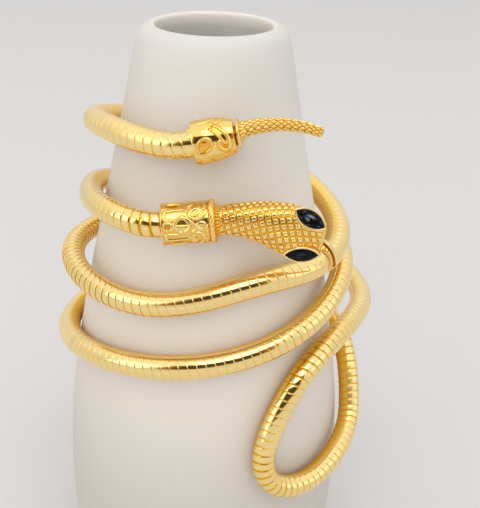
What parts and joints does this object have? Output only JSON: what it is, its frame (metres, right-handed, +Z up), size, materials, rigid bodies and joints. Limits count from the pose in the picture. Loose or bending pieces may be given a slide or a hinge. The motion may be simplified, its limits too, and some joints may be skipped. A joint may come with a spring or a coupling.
{
  "type": "snake wrap bracelet on a ceramic display stand",
  "caption": "Long banded snake chain with a cast head, stone eyes and scaled tail, wound round a plain hollow ceramic display stand.",
  "frame": {"origin": "centre of the stand's base, on the surface it stands on", "axes": "+Z up along the stand's axis; -Y towards the front, where the snake's head and tail lie; +X to the right seen from the front"},
  "size_m": [0.1094, 0.111, 0.205],
  "materials": {
    "ceramic": "matt off-white ceramic glaze",
    "chain_gold": "polished pale gold plate",
    "cast_gold": "polished deep gold plate over cast relief",
    "black_stone": "faceted polished black stone"
  },
  "bodies": {
    "root": {"stand": "ceramic", "chain_upper": "chain_gold", "chain_lower": "chain_gold", "head_cap": "cast_gold", "snake_head": "cast_gold", "eye_stone_upper": "black_stone", "eye_stone_lower": "black_stone", "tail_cap": "cast_gold", "tail": "cast_gold"}
  },
  "joints": []
}
